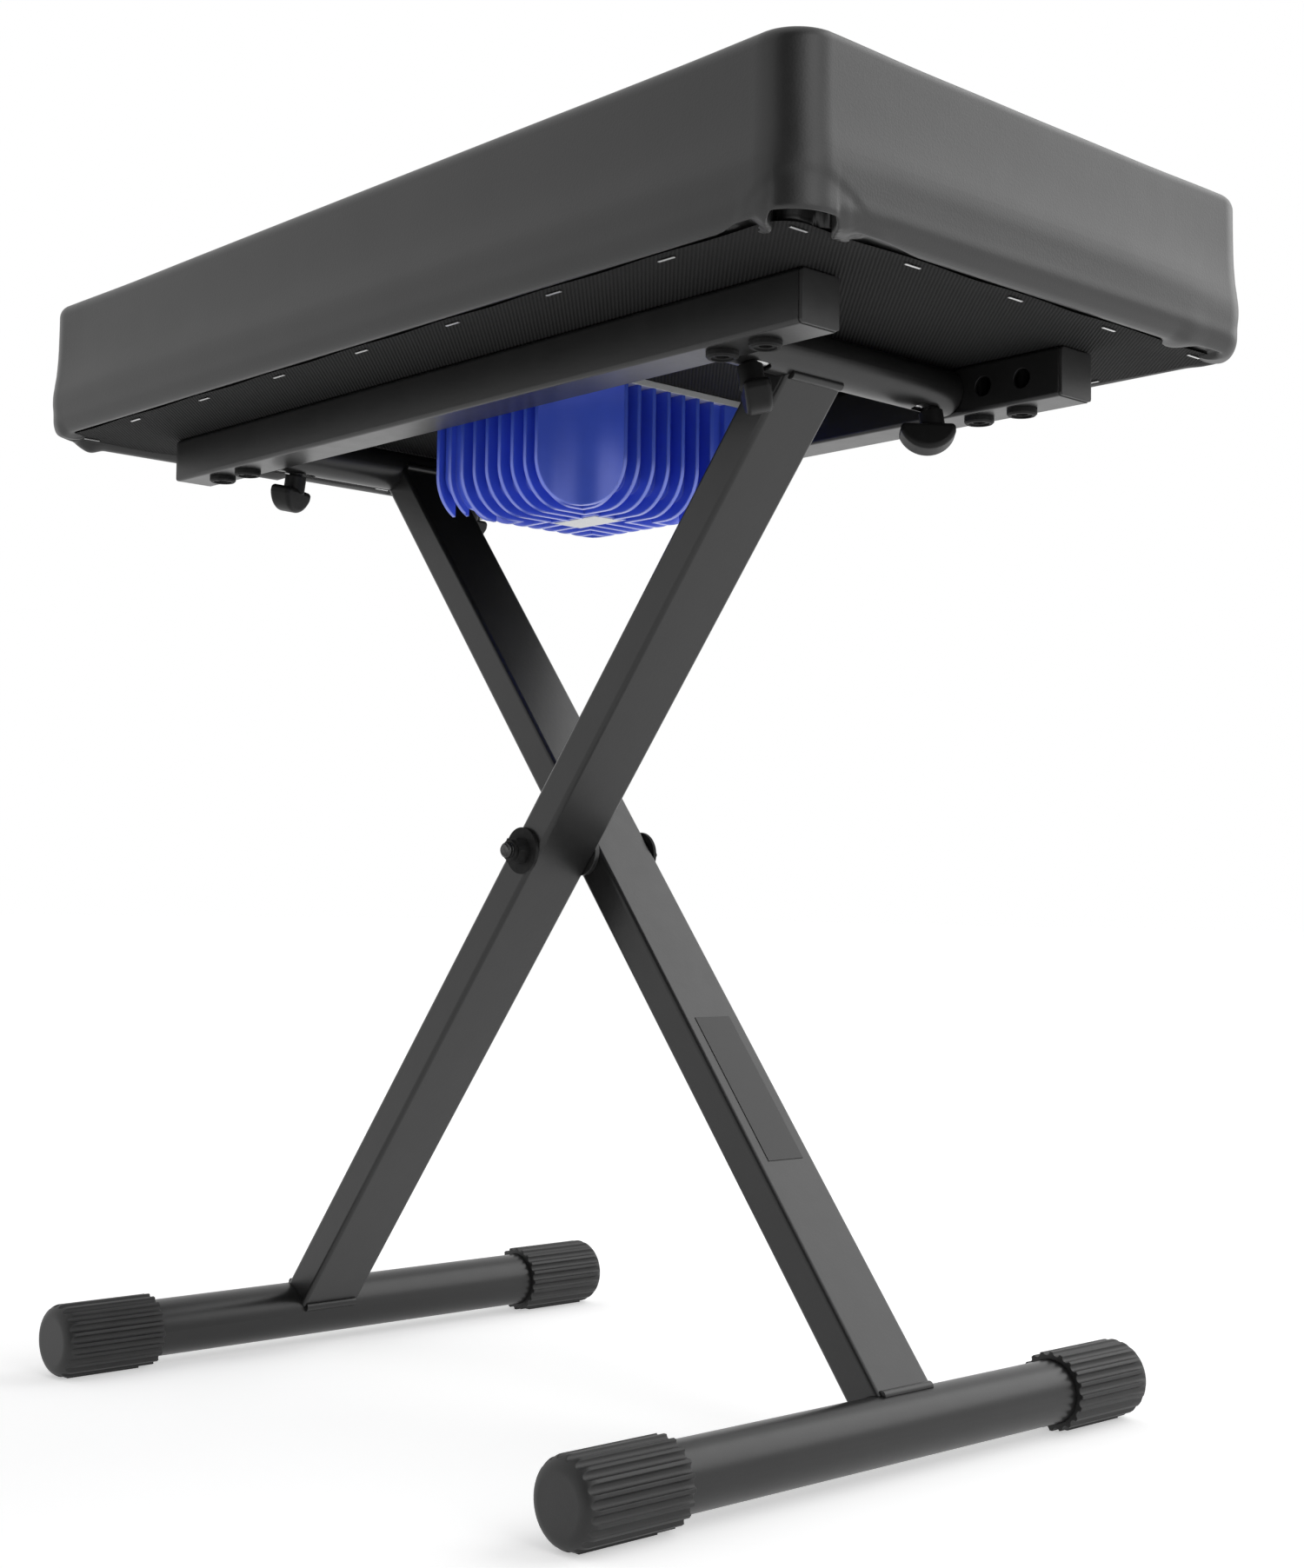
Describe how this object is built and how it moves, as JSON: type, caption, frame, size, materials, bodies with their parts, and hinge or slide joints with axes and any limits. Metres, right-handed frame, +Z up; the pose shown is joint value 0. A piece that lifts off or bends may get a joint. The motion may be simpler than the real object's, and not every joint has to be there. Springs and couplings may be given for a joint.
{
  "type": "keyboard bench",
  "caption": "Black folding keyboard bench, padded seat on crossed legs with spring-pin height knobs and a blue finned vibration unit under the seat",
  "frame": {"origin": "on the floor, under the middle of the bench", "axes": "+X along the seat's long side, +Y across it, +Z up from the floor"},
  "size_m": [0.63, 0.391, 0.6226],
  "materials": {
    "vinyl": "satin",
    "foam": "matte",
    "plywood": "matte",
    "dust_cloth": "matte",
    "bright_steel": "satin",
    "black_steel": "satin",
    "black_fastener": "satin",
    "black_plastic": "matte",
    "black_rubber": "matte",
    "blue_paint": "satin",
    "silver_plate": "satin",
    "iron": "matte",
    "bronze": "matte",
    "dark_patch": "gloss"
  },
  "bodies": {
    "seat": {"vinyl_cover": "vinyl", "seat_foam": "foam", "seat_board": "plywood", "dust_cover": "dust_cloth", "staples": "bright_steel", "tee_nuts": "bright_steel", "rail_front": "black_steel", "rail_rear": "black_steel", "rail_end_caps": "black_plastic", "rail_bolts": "black_fastener", "shaker_base_plate": "silver_plate", "shaker_housing": "blue_paint", "shaker_screws": "bright_steel", "shaker_case_screws": "bright_steel", "shaker_label": "silver_plate", "shaker_gland": "black_plastic", "shaker_shaft": "bright_steel", "shaker_coil": "bronze", "shaker_springs": "bright_steel"},
    "shaker_mass": {"shaker_yoke": "iron", "shaker_magnet": "iron", "shaker_pole_plate": "iron", "shaker_bush": "bronze"},
    "leg_a": {"leg_a_tube": "black_steel", "foot_tube_a": "black_steel", "top_tube_a": "black_steel", "leg_a_welds": "black_steel", "foot_cap_a_front": "black_rubber", "foot_cap_a_rear": "black_rubber", "pivot_sleeve_a": "bright_steel", "plunger_bushes_a": "black_plastic", "spring_stops_a": "black_plastic", "plunger_spring_a_front": "bright_steel", "plunger_spring_a_rear": "bright_steel", "pivot_bolt": "black_fastener", "pivot_nut": "black_fastener", "pivot_washers": "black_fastener", "pivot_spacer": "black_plastic"},
    "leg_b": {"leg_b_tube": "black_steel", "foot_tube_b": "black_steel", "top_tube_b": "black_steel", "leg_b_welds": "black_steel", "foot_cap_b_front": "black_rubber", "foot_cap_b_rear": "black_rubber", "pivot_sleeve_b": "bright_steel", "plunger_bushes_b": "black_plastic", "spring_stops_b": "black_plastic", "plunger_spring_b_front": "bright_steel", "plunger_spring_b_rear": "bright_steel", "leg_label": "dark_patch"},
    "plunger_a_front": {"plunger_a_front": "bright_steel", "knob_a_front": "black_plastic"},
    "plunger_a_rear": {"plunger_a_rear": "bright_steel", "knob_a_rear": "black_plastic"},
    "plunger_b_front": {"plunger_b_front": "bright_steel", "knob_b_front": "black_plastic"},
    "plunger_b_rear": {"plunger_b_rear": "bright_steel", "knob_b_rear": "black_plastic"}
  },
  "joints": [
    {"name": "seat_hinge", "type": "hinge", "parent": "seat", "child": "leg_a", "pos_m": [0.1868, 0, 0.5311], "axis": [0, -1, 0], "range_deg": [0, 70]},
    {"name": "leg_pivot", "type": "hinge", "parent": "leg_a", "child": "leg_b", "pos_m": [0, 0, 0.29358], "axis": [0, 1, 0], "range_deg": [0, 56]},
    {"name": "pull_a_front", "type": "slide", "parent": "leg_a", "child": "plunger_a_front", "axis": [0, 1, 0], "range_m": [0, 0.0085], "stiffness_N_per_m": 900, "springref_m": -0.012, "deforming": ["plunger_spring_a_front"]},
    {"name": "pull_a_rear", "type": "slide", "parent": "leg_a", "child": "plunger_a_rear", "axis": [0, -1, 0], "range_m": [0, 0.0085], "stiffness_N_per_m": 900, "springref_m": -0.012, "deforming": ["plunger_spring_a_rear"]},
    {"name": "pull_b_front", "type": "slide", "parent": "leg_b", "child": "plunger_b_front", "axis": [0, 1, 0], "range_m": [0, 0.0085], "stiffness_N_per_m": 900, "springref_m": -0.012, "deforming": ["plunger_spring_b_front"]},
    {"name": "pull_b_rear", "type": "slide", "parent": "leg_b", "child": "plunger_b_rear", "axis": [0, -1, 0], "range_m": [0, 0.0085], "stiffness_N_per_m": 900, "springref_m": -0.012, "deforming": ["plunger_spring_b_rear"]},
    {"name": "shaker_stroke", "type": "slide", "parent": "seat", "child": "shaker_mass", "axis": [0, 0, 1], "range_m": [-0.002, 0.002], "stiffness_N_per_m": 48000, "deforming": ["shaker_springs"]}
  ],
  "couplings": [
    {"joint": "leg_pivot", "follows": "seat_hinge", "ratio": 0.8}
  ]
}
